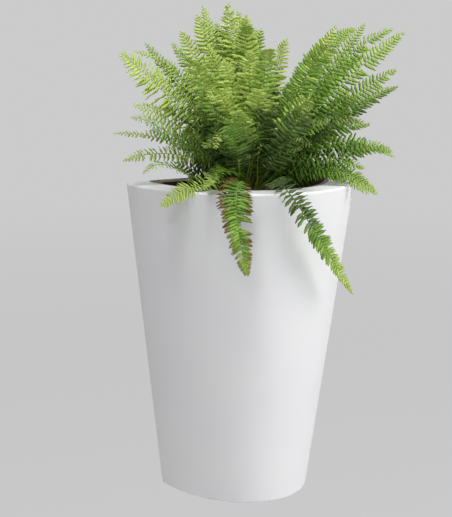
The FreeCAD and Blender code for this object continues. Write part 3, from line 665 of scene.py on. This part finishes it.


# ------------------------------------------------------------------ fern
# A sword fern with some 140 fronds on one rootstock. A frond is a wiry stalk with two rows of
# leaflets, each a thin blade with a scalloped edge. The outer fronds have their places listed,
# and younger ones fill the middle. Sizes are metres, and angles are degrees.
STALK_SIDES = 5
STALK_STEPS = 34
STALK_RADIUS = (0.00115, 0.00032)
CURVE_STEPS = 240
CURL_FROM, CURL_OVER = 0.80, 0.20
LEAFLET_STEPS = 10
LEAFLET_GAP = 0.0080
LEAFLET_THICK = 0.0007
SCALLOPS = 0.11
KEEL = 0.22
RUFFLE = 0.30
LOST_LEAFLETS = 0.025
# Painted shade: leaflets are painted darker towards the crown, where the plant shades its own middle.
PAINTED_CROWN_SHADE = 0.6
LIT_FROM = np.array([-0.42, -0.76, 0.50])

# Leaves start to bend at BACK_REACH in front of the plane of the rail's back, and stay
# BACK_PLAY off it. The plans are D shapes: half the width, where the front starts to round
# off, and the front.
BACK_REACH = 0.030
BACK_PLAY = 0.0025
POT_PLAN = (0.143, -0.040, -0.185)
RIM_PLAN = (0.203, -0.026, -0.245)
SOIL_CLEAR = 0.068
RIM_CLEAR = 0.0915
REST_KNEE = 0.008


def within(places, half, belly, front):
    """Whether places lie in a D-shaped plan."""
    ahead = np.clip((belly - places[..., 1]) / (belly - front), 0.0, 1.0)
    return np.abs(places[..., 0]) < half * np.sqrt(1.0 - ahead ** 2)


def settled(places):
    """Leaves that would reach the plane of the rail's back, y = 0, bend along it. Those that
    would reach the soil or the rim rest on it."""
    give = BACK_REACH - BACK_PLAY
    near = np.maximum(places[..., 1] + BACK_REACH, 0.0)
    places[..., 1] = np.where(near > 0.0, give * np.tanh(near / give) - BACK_REACH, places[..., 1])
    rim_or_air = np.where(within(places, *RIM_PLAN), RIM_CLEAR, -1.0)
    bed = np.where(within(places, *POT_PLAN), SOIL_CLEAR, rim_or_air)
    over = np.minimum(places[..., 2] - bed - REST_KNEE, 0.0)
    places[..., 2] = np.where(over < 0.0, bed + REST_KNEE * np.exp(over / REST_KNEE), places[..., 2])
    return places


def even_line(points, steps, wander=0.0, curl=0.0):
    """Places and directions at even steps along a cubic curve. A frond's line wanders a
    little, and the tip of a young one curls down by the given number of radians."""
    share = np.linspace(0.0, 1.0, CURVE_STEPS)[:, None]
    rest = 1.0 - share
    a, b, c, d = (np.asarray(point, float) for point in points)
    line = a * rest ** 3 + 3 * b * rest ** 2 * share + 3 * c * rest * share ** 2 + d * share ** 3
    length = np.linalg.norm(np.diff(line, axis=0), axis=1).sum()
    if wander:
        aside = unit(np.cross(d - a, UP))
        phase = dice.uniform(0.0, 6.28)
        line = line + aside * wander * length * share * np.sin(phase + 5.0 * share)
    if curl:
        ways = np.diff(line, axis=0)
        aside = unit(np.cross(ways[-1], UP))
        turn = -curl * np.clip((share[1:] - CURL_FROM) / CURL_OVER, 0.0, 1.0) ** 1.5
        ways = (ways * np.cos(turn) + np.cross(aside, ways) * np.sin(turn)
                + aside * (ways @ aside)[:, None] * (1.0 - np.cos(turn)))
        line = np.concatenate([line[:1], line[:1] + np.cumsum(ways, axis=0)])
    run = np.concatenate([[0.0], np.cumsum(np.linalg.norm(np.diff(line, axis=0), axis=1))])
    even = np.linspace(0.0, run[-1], steps)
    spots = np.stack([np.interp(even, run, line[:, k]) for k in range(3)], axis=1)
    return spots, unit(np.gradient(spots, axis=0)), run[-1]


def blade_share(share, bluntness):
    """The length of the leaflets along a frond's blade, as a share of the longest."""
    return np.minimum(1.0, 0.55 + 2.2 * share) * (1.0 - share ** bluntness) ** 0.85


def leaflet_skins(roots, ways, tipward, side, lengths, widths, droop, twist):
    """Blades with four corners to a step: an edge, the upper rib, the other edge, the back.
    Every array has a row for each leaflet."""
    out = np.linspace(0.0, 1.0, LEAFLET_STEPS)
    profile = (0.55 + 0.45 * np.minimum(1.0, out / 0.12)) * (1.0 - out ** 2.6) ** 0.6
    profile *= 1.0 + SCALLOPS * np.cos(np.pi * np.arange(LEAFLET_STEPS))
    profile[-1] = 0.05
    t = out[None, :, None]
    bend = (0.20 * tipward - droop[:, None] * UP)[:, None]
    line = roots[:, None] + lengths[:, None, None] * (ways[:, None] * t + bend * t ** 2)
    along = unit(ways[:, None] + 2 * bend * t)
    across = -(side[:, None] * tipward)[:, None]
    across = unit(across - along * (across * along).sum(-1, keepdims=True))
    face = np.cross(along, across)
    turn = twist[:, None, None] * (1.0 + 0.5 * t)
    across, face = (across * np.cos(turn) + face * np.sin(turn),
                    face * np.cos(turn) - across * np.sin(turn))
    half = widths[:, None, None] / 2 * profile[None, :, None]
    ruffle = RUFFLE * np.sin(dice.uniform(0.0, 6.28, len(roots))[:, None, None] + 9.0 * t)
    thick = LEAFLET_THICK / 2 * (1.0 - 0.6 * t)
    near = line + across * half - face * half * (KEEL - ruffle)
    far = line - across * half - face * half * (KEEL + ruffle)
    return np.stack([near, line + face * thick, far, line - face * thick], axis=2)


def grow_frond(green, points, width, tone, lit=0.5, bare=0.15, curl=0.0, dry=0.0, dry_tips=0.0,
               blind=22.0, wander=0.015, gap=LEAFLET_GAP, broad=1.0, droop=1.0, tips_pale=0.0,
               bluntness=4.0, bitten=(1.0, 1.0)):
    """One frond along a curve. tone is its brightness, lit how far its face turns to the
    light, bare the share of stalk without leaflets, curl the hook of its tip, dry how brown
    it is, blind how far each leaflet tilts, like the slat of a blind, and gap the step from
    leaflet to leaflet. Between the shares in bitten, one side's leaflets were bitten off."""
    spots, ways, length = even_line(points, STALK_STEPS, wander, curl)
    flat = points[3] - points[0]
    natural = unit(np.array([-flat[1], flat[0], 0.0]))
    facing = np.cross(ways, LIT_FROM)
    facing *= np.where((facing @ natural)[:, None] < 0.0, -1.0, 1.0)
    sides = natural * (1.0 - lit) + facing * lit
    sides = unit(sides - ways * (sides * ways).sum(-1, keepdims=True))
    ups = np.cross(ways, sides)

    share = np.linspace(0.0, 1.0, STALK_STEPS)
    angles = np.arange(STALK_SIDES) * (2 * math.pi / STALK_SIDES)
    radius = STALK_RADIUS[0] + (STALK_RADIUS[1] - STALK_RADIUS[0]) * share
    ring = (sides[:, None] * np.cos(angles)[None, :, None]
            + ups[:, None] * np.sin(angles)[None, :, None])
    stalk = spots[:, None] + ring * radius[:, None, None]
    tints = np.ones((1, STALK_STEPS, STALK_SIDES, 4))
    tints[..., 0] = share[None, :, None]
    tints[..., 2] = tone * 0.7
    tints[..., 3] = np.maximum(dry, np.clip(0.45 - 1.6 * share, 0.0, 1.0))[None, :, None]
    green.add(settled(stalk)[None], tints)

    places = []
    share = bare
    while share < 0.99:
        places.append(share)
        size = float(blade_share((share - bare) / (1.0 - bare), bluntness))
        share += gap * (0.45 + 0.55 * size) / length
    at = np.repeat(np.array(places), 2)
    side = np.tile([1.0, -1.0], len(places))
    at = at + side * 0.25 * gap / length
    count = len(at)

    def along(values):
        return np.stack([np.interp(at, np.linspace(0, 1, STALK_STEPS), values[:, k])
                         for k in range(3)], 1)

    way, aside, up = unit(along(ways)), unit(along(sides)), unit(along(ups))
    t = np.clip((at - bare) / (1.0 - bare), 0.0, 1.0)
    lengths = width / 2 * blade_share(t, bluntness) * dice.normal(1.0, 0.05, count) + 0.0012
    lengths = np.where((t > bitten[0]) & (t < bitten[1]) & (side > 0), 0.25 * lengths, lengths)
    widths = np.minimum(0.0030 + 0.145 * lengths, 0.7 * lengths) * dice.normal(broad, 0.06, count)
    open_angle = np.radians(86.0 - 24.0 * t ** 3 + dice.normal(0.0, 4.0, count))
    lift = np.radians(dice.normal(8.0, 7.0, count))
    out = aside * (side * np.cos(lift))[:, None] + up * np.sin(lift)[:, None]
    leaf_ways = way * np.cos(open_angle)[:, None] + out * np.sin(open_angle)[:, None]
    twist = -side * np.radians(dice.normal(blind, 9.0, count))
    sag = droop * dice.uniform(0.03, 0.20, count)
    rings = leaflet_skins(along(spots), leaf_ways, way, side, lengths, widths, sag, twist)
    tints = np.zeros(rings.shape[:3] + (4,))
    tints[..., 0] = t[:, None, None]
    tints[..., 1] = np.array([0.0, 1.0, 0.0, 1.0])
    # Leaflets near the crown get painted shade for the plant's shaded middle.
    tone_with_painted_shade = tone - PAINTED_CROWN_SHADE * (1.0 - t) ** 1.5 + tips_pale * t + dice.normal(0.0, 0.05, count)
    tints[..., 2] = np.clip(tone_with_painted_shade, 0.0, 1.4)[:, None, None]
    outward = np.linspace(0.0, 1.0, LEAFLET_STEPS)[None, :, None]
    browned = dry_tips * np.clip((outward - 0.45) / 0.4, 0.0, 1.0)
    browned = browned * dice.uniform(0.4, 1.0, count)[:, None, None]
    tints[..., 3] = np.maximum(dry, browned)
    kept = dice.uniform(0.0, 1.0, count) > LOST_LEAFLETS
    green.add(settled(rings[kept]), tints[kept])


def arch_to(tip, arch, swing=0.0):
    """The curve of a frond from the crown to its tip: it starts steeper than the straight
    line by the arch and ends flatter by as much."""
    tip = np.asarray(tip, float)
    flat = tip - crown_middle
    bearing = math.degrees(math.atan2(flat[1], flat[0]))
    rise = math.degrees(math.atan2(flat[2], math.hypot(flat[0], flat[1])))
    way = heading(bearing + swing, min(rise + arch, 86.0))
    base = crown_middle + way * crown_radius * 0.85
    span = np.linalg.norm(tip - base)
    return [base, base + way * span * 0.38, tip - heading(bearing, rise - 1.2 * arch) * span * 0.36, tip]


# The main fronds stand in four tiers. Each tier: their bearings and how steeply they leave
# the crown, then as shares of the plant's reach and of the frond's span how far they go, how
# far they climb first and how far they droop at the tip, and last their tips' level.
TIERS = {
    "low": (range(-33, 217, 45), 16, 0.95, 0.62, -0.10, 0.132),
    "middle": (range(-12, 328, 40), 36, 0.96, 0.50, 0.12, 0.230),
    "upper": (range(8, 348, 40), 53, 0.92, 0.45, 0.12, 0.328),
    "top": (range(92, 260, 72), 76, 0.38, 0.50, 0.12, 0.362),
}
REACH = {"right": 0.292, "left": 0.240, "front": 0.200, "back": 0.078}
TIP_LEAN = 0.018
LOW_LIFT = 0.014
NEAR_RIM_WIDTH = 0.034
END_SHARE = 0.3


def tier_points(tier, bearing):
    _, rise, reach_share, climb, droop, level = TIERS[tier]
    base = crown_middle + heading(bearing, rise) * crown_radius
    out = heading(bearing, 0.0)
    across = REACH["right" if out[0] > 0 else "left"]
    deep = REACH["back" if out[1] > 0 else "front"]
    reach = reach_share / math.hypot(out[0] / across, out[1] / deep)
    tip = np.array([crown_middle[0], crown_middle[1], level]) + out * reach + UP * TIP_LEAN * out[0]
    span = np.linalg.norm(tip - base)
    return [base, base + heading(bearing, rise) * span * climb,
            tip - out * span * END_SHARE - UP * span * droop, tip]


# Tip, arch, width over the leaflets, brightness, and how far the face turns to the light.
# Here and in the tables below, the brightness is the frond's own tone with painted light added: higher at
# the top and the left.
OUTER_FRONDS = [
    ((-0.240, -0.076, 0.302), 8, 0.068, 1.30, 1.00), ((-0.184, -0.052, 0.317), 6, 0.034, 0.45, 0.90),
    ((-0.121, -0.057, 0.335), 5, 0.056, 1.35, 1.00), ((-0.080, -0.036, 0.361), 4, 0.058, 1.35, 1.00),
    ((-0.067, -0.033, 0.377), 3, 0.036, 1.10, 0.80), ((-0.063, -0.105, 0.380), 2, 0.058, 1.35, 1.00),
    ((-0.161, -0.071, 0.292), 10, 0.046, 0.70, 0.90), ((-0.138, -0.058, 0.317), 8, 0.040, 0.60, 0.90),
    ((-0.072, -0.081, 0.349), 6, 0.050, 0.95, 1.00), ((0.001, -0.107, 0.340), 5, 0.040, 0.60, 0.90),
    ((-0.115, -0.122, 0.314), 10, 0.054, 1.05, 1.00), ((-0.197, -0.101, 0.273), 12, 0.050, 0.95, 0.95),
    ((-0.222, -0.084, 0.223), 16, 0.048, 1.05, 0.90), ((-0.155, -0.132, 0.276), 14, 0.052, 1.00, 0.95),
    ((-0.059, -0.142, 0.362), 6, 0.058, 1.30, 1.00), ((-0.030, -0.085, 0.368), 3, 0.044, 0.95, 0.80),
    ((0.012, -0.163, 0.327), 3, 0.048, 1.30, 1.00), ((0.102, -0.172, 0.346), 4, 0.046, 1.25, 1.00),
    ((0.177, -0.149, 0.351), 2, 0.040, 0.85, 0.80), ((0.233, -0.183, 0.337), 8, 0.050, 0.88, 0.90),
    ((0.225, -0.178, 0.275), 8, 0.048, 0.80, 0.90), ((0.213, -0.194, 0.130), 40, 0.046, 0.70, 0.50),
    ((0.135, -0.216, 0.117), 35, 0.048, 0.60, 0.60), ((0.161, -0.209, 0.078), 42, 0.030, 0.75, 0.40),
    ((0.114, -0.215, 0.101), 30, 0.042, 0.50, 0.60), ((-0.224, -0.051, 0.131), 30, 0.036, 1.05, 0.70),
    ((-0.234, -0.040, 0.174), 22, 0.026, 1.05, 0.60),
    ((-0.159, -0.103, 0.138), 30, 0.042, 1.15, 0.70), ((-0.073, -0.192, 0.308), 8, 0.056, 1.10, 0.90),
    ((0.001, -0.251, 0.243), 12, 0.048, 1.00, 0.80), ((-0.112, -0.168, 0.293), 10, 0.056, 1.10, 0.90),
    ((-0.154, -0.189, 0.162), 30, 0.050, 0.62, 0.50), ((-0.112, -0.227, 0.218), 20, 0.044, 0.95, 0.70),
    ((0.060, -0.217, 0.199), 15, 0.052, 0.60, 0.60),
    ((-0.008, -0.233, 0.156), 30, 0.050, 0.50, 0.60), ((-0.182, -0.065, 0.179), 20, 0.048, 1.05, 0.70),
    ((-0.143, -0.125, 0.222), 15, 0.046, 0.50, 0.60), ((0.190, -0.130, 0.300), 8, 0.044, 0.70, 0.50),
    ((0.160, -0.160, 0.235), 12, 0.048, 0.55, 0.60), ((0.175, -0.175, 0.185), 22, 0.048, 0.55, 0.60),
]
# Young fronds whose tips still hook over: as above, and the hook in radians.
HOOKED_FRONDS = [
    ((-0.147, -0.193, 0.268), 14, 0.048, 1.40, 0.70, 1.8),
    ((-0.082, -0.234, 0.270), 14, 0.046, 1.40, 0.70, 1.6),
    ((-0.150, -0.205, 0.185), 24, 0.038, 1.15, 0.60, 1.7),
]
# Fronds that arch over the rim: two points that bend the curve, the tip, and then as above.
RIM_FRONDS = [
    ((-0.070, -0.140, 0.104), (-0.140, -0.158, 0.116), (-0.204, -0.142, 0.068), 0.044, 1.20, 0.70),
    ((-0.060, -0.130, 0.120), (-0.110, -0.170, 0.140), (-0.158, -0.200, 0.102), 0.036, 0.75, 0.60),
    ((0.050, -0.130, 0.110), (0.100, -0.170, 0.150), (0.165, -0.212, 0.072), 0.036, 0.80, 0.80),
    ((0.040, -0.140, 0.105), (0.080, -0.190, 0.135), (0.130, -0.234, 0.078), 0.034, 0.70, 0.80),
]
# Young fronds that fill the plant: they go five times round, inside a rounded box.
FILL_COUNT = 84
FILL_TURNS = 5
FILL_RISE = (14, 78)
FILL_HEIGHT = 0.285
FILL_POWER = 3.0

pieces = {name: Skins() for name in (
    "low_fronds_left", "low_fronds_right", "middle_fronds_left", "middle_fronds_right",
    "upper_fronds_left", "upper_fronds_right", "top_fronds")}


def greenery_for(tip):
    """The group that a frond belongs to, by the height and side of its tip."""
    if tip[2] > 0.31 and abs(tip[0] - crown_middle[0]) < 0.09:
        return pieces["top_fronds"]
    tier = "low" if tip[2] < 0.185 else "middle" if tip[2] < 0.28 else "upper"
    return pieces[f"{tier}_fronds_{'left' if tip[0] < crown_middle[0] else 'right'}"]


SUN_GAIN = 0.34
SUN_LEVEL, SUN_SIDE, SUN_FADE = 0.20, -0.06, 0.12


def sunlit(tip):
    """How much brighter the leaves at the top and the left are, where the light comes from."""
    high = np.clip((tip[2] - SUN_LEVEL) / SUN_FADE, 0.0, 1.0)
    left = np.clip((SUN_SIDE - tip[0]) / SUN_FADE, 0.0, 1.0)
    return SUN_GAIN * high + SUN_GAIN * left


for tier, (bearings, *_) in TIERS.items():
    for bearing in bearings:
        points = tier_points(tier, bearing)
        near_rim = tier == "low" and bearing > 180
        if near_rim:
            points[2:] = [point + UP * LOW_LIFT for point in points[2:]]
        grow_frond(greenery_for(points[3]), points,
                   NEAR_RIM_WIDTH if near_rim else dice.uniform(0.042, 0.050),
                   dice.uniform(0.2, 0.5) + sunlit(points[3]), lit=dice.uniform(0.4, 0.9),
                   bare=0.28 if 200 < bearing < 310 else 0.16, curl=dice.uniform(0.0, 0.6))
for tip, arch, width, tone, lit in OUTER_FRONDS:
    grow_frond(greenery_for(tip), arch_to(tip, arch, dice.uniform(-12, 12)), width, tone, lit)
for tip, arch, width, tone, lit, hook in HOOKED_FRONDS:
    grow_frond(greenery_for(tip), arch_to(tip, arch), width, tone, lit, curl=hook)
for bend, arc, tip, width, tone, lit in RIM_FRONDS:
    bearing = math.degrees(math.atan2(bend[1] - plant[1], bend[0] - plant[0]))
    points = [crown_middle + heading(bearing, 35) * crown_radius,
              np.array(bend), np.array(arc), np.array(tip)]
    grow_frond(greenery_for(tip), points, width, tone, lit, bare=0.12, gap=0.0058, droop=0.5)
for index in range(FILL_COUNT):
    bearing = 360.0 * index / FILL_COUNT * FILL_TURNS + dice.uniform(-14, 14)
    rise = dice.uniform(*FILL_RISE)
    way = heading(bearing, rise)
    low_right = way[0] > 0.25 and rise < 32
    low_left = way[0] < -0.55 and rise < 26
    low_front = way[1] < -0.6 and rise < 36
    if (low_right and index % 3) or (low_left and index % 2) or low_front:
        continue
    across = REACH["right" if way[0] > 0 else "left"]
    deep = REACH["back" if way[1] > 0 else "front"]
    shares = abs(way[0] / across), abs(way[1] / deep), way[2] / FILL_HEIGHT
    reach = sum(part ** FILL_POWER for part in shares) ** (-1.0 / FILL_POWER)
    tip = crown_middle + way * reach * dice.uniform(0.45, 0.80)
    arch = dice.uniform(6, 14) + 0.25 * (80 - rise)
    in_front = way[1] < -0.55 and rise < 50
    # Painted shade: the fill fronds are painted darker for the shade inside the plant, and get half of
    # sunlit()'s brightening.
    grow_frond(greenery_for(tip), arch_to(tip, arch, dice.uniform(-20, 20)), dice.uniform(0.042, 0.054),
               dice.uniform(-0.45, 0.05) + 0.5 * sunlit(tip), dice.uniform(0.4, 1.0),
               bare=0.34 if in_front else 0.16, curl=dice.uniform(0.0, 0.9))

fern_green = Finish("fern_green", (0.2, 0.42, 0.04), 0.42)
tint = fern_green.add("Attribute", "Color", {}, attribute_name="tint")
channels = fern_green.add("SeparateColor", "Red", {"Color": tint}).node
along_frond, on_rib, brightness = (channels.outputs[name] for name in ("Red", "Green", "Blue"))
dryness = tint.node.outputs["Alpha"]
mottle = fern_green.spread(fern_green.clouds(90.0, 4.0), 0.3, 0.7, -0.16, 0.16)
level = fern_green.add("Math", 0, {0: brightness, 1: mottle}, operation="ADD")
dark_to_mid = fern_green.between(
    fern_green.spread(level, 0.1, 0.55), (0.028, 0.098, 0.009), (0.20, 0.44, 0.036))
leaf_color = fern_green.between(
    fern_green.spread(level, 0.5, 1.15), dark_to_mid, (0.74, 0.90, 0.22))
leaf_color = fern_green.between(fern_green.product(on_rib, 0.22), leaf_color, (0.55, 0.68, 0.16))
pale_tip = fern_green.spread(along_frond, 0.72, 1.0, 0.0, 0.55)
leaf_color = fern_green.between(pale_tip, leaf_color, (0.60, 0.72, 0.22))
leaf_color = fern_green.between(dryness, leaf_color, (0.24, 0.092, 0.022))
fern_green.set("Base Color", leaf_color)
fern_green.set("Roughness", fern_green.spread(fern_green.clouds(200.0), 0.3, 0.7, 0.36, 0.52))
fern_green.relief(fern_green.clouds(700.0, 4.0), 0.0002)
through = fern_green.add("BsdfTranslucent", "BSDF", {"Color": fern_green.between(
    0.5, leaf_color, (0.62, 0.80, 0.06))})
mixed = fern_green.add("MixShader", "Shader", {"Fac": 0.28, 1: fern_green.shader.outputs["BSDF"],
                                               2: through})
fern_green.tree.links.new(mixed, fern_green.tree.nodes["Material Output"].inputs["Surface"])

for name, green in pieces.items():
    green.make(name.replace("fronds", "leaves"), fern_green, "fern", "fern_leaf", name)


# ------------------------------------------------------------------ old stalks
# Bare grey-green stalks of fronds that have dropped their leaflets. They fan out from the
# front of the crown, low over the soil.
STALK_TIPS = [(-0.096, -0.170, 0.124), (-0.088, -0.176, 0.140), (-0.070, -0.184, 0.146),
              (-0.056, -0.186, 0.150), (-0.034, -0.190, 0.150), (-0.014, -0.190, 0.140),
              (0.012, -0.186, 0.146), (0.034, -0.180, 0.132), (-0.044, -0.176, 0.162)]
OLD_STALK_WIDTH = 0.007
OLD_STALK_TONE = 0.80
old_stalks = Skins()
for tip in STALK_TIPS:
    grow_frond(old_stalks, arch_to(tip, dice.uniform(-25, 25), dice.uniform(-25, 25)),
               OLD_STALK_WIDTH, OLD_STALK_TONE, bare=0.90, dry=0.22, wander=0.03)
old_stalks.make("old_stalks", fern_green, "fern", "fern_leaf")


# ------------------------------------------------------------------ hanging fronds
# Two long old fronds have toppled over the rim and hang in front of the shell. The left
# one is going brown at its leaflets' tips.
HANGING_LEAD = 0.12


def over_rim(bearing, rise, bend, tip):
    """The curve of a frond that leaves the crown straight, bends, and hangs to its tip."""
    way = heading(bearing, rise)
    base = crown_middle + way * crown_radius
    return [base, base + way * HANGING_LEAD, np.array(bend), np.array(tip)]


left_green = Skins()
grow_frond(left_green, over_rim(-123, 22, (-0.165, -0.262, 0.152), (-0.108, -0.246, -0.033)),
           0.050, 0.76, lit=0.9, bare=0.42, dry_tips=1.1, blind=6.0, wander=0.012, gap=0.0052, broad=1.1,
           droop=0.1, bluntness=2.6, bitten=(0.47, 0.56))
left_green.make("hanging_leaves_left", fern_green, "fern", "fern_leaf", "hanging_frond_left")

right_green = Skins()
grow_frond(right_green, over_rim(-94, 23, (-0.118, -0.312, 0.146), (0.088, -0.256, -0.080)),
           0.046, 0.08, lit=0.8, bare=0.24, blind=38.0, wander=0.02, gap=0.0074, broad=1.15, droop=0.2,
           tips_pale=1.25, bluntness=2.0)
right_green.make("hanging_leaves_right", fern_green, "fern", "fern_leaf", "hanging_frond_right")


# ------------------------------------------------------------------ dead frond
# A small brown frond, long dead, has curled over the front of the rim. Only its outer half
# still has leaflets.
dead_curve = [crown_middle + heading(-140, 30) * crown_radius, np.array((-0.085, -0.160, 0.120)),
              np.array((-0.130, -0.218, 0.128)), np.array((-0.140, -0.226, 0.068))]
withered = Skins()
grow_frond(withered, dead_curve, 0.020, 0.4, lit=0.9, bare=0.55, dry=0.85, wander=0.05, gap=0.007,
           broad=0.9)
withered.make("dead_leaves", fern_green, "fern", "fern_leaf")
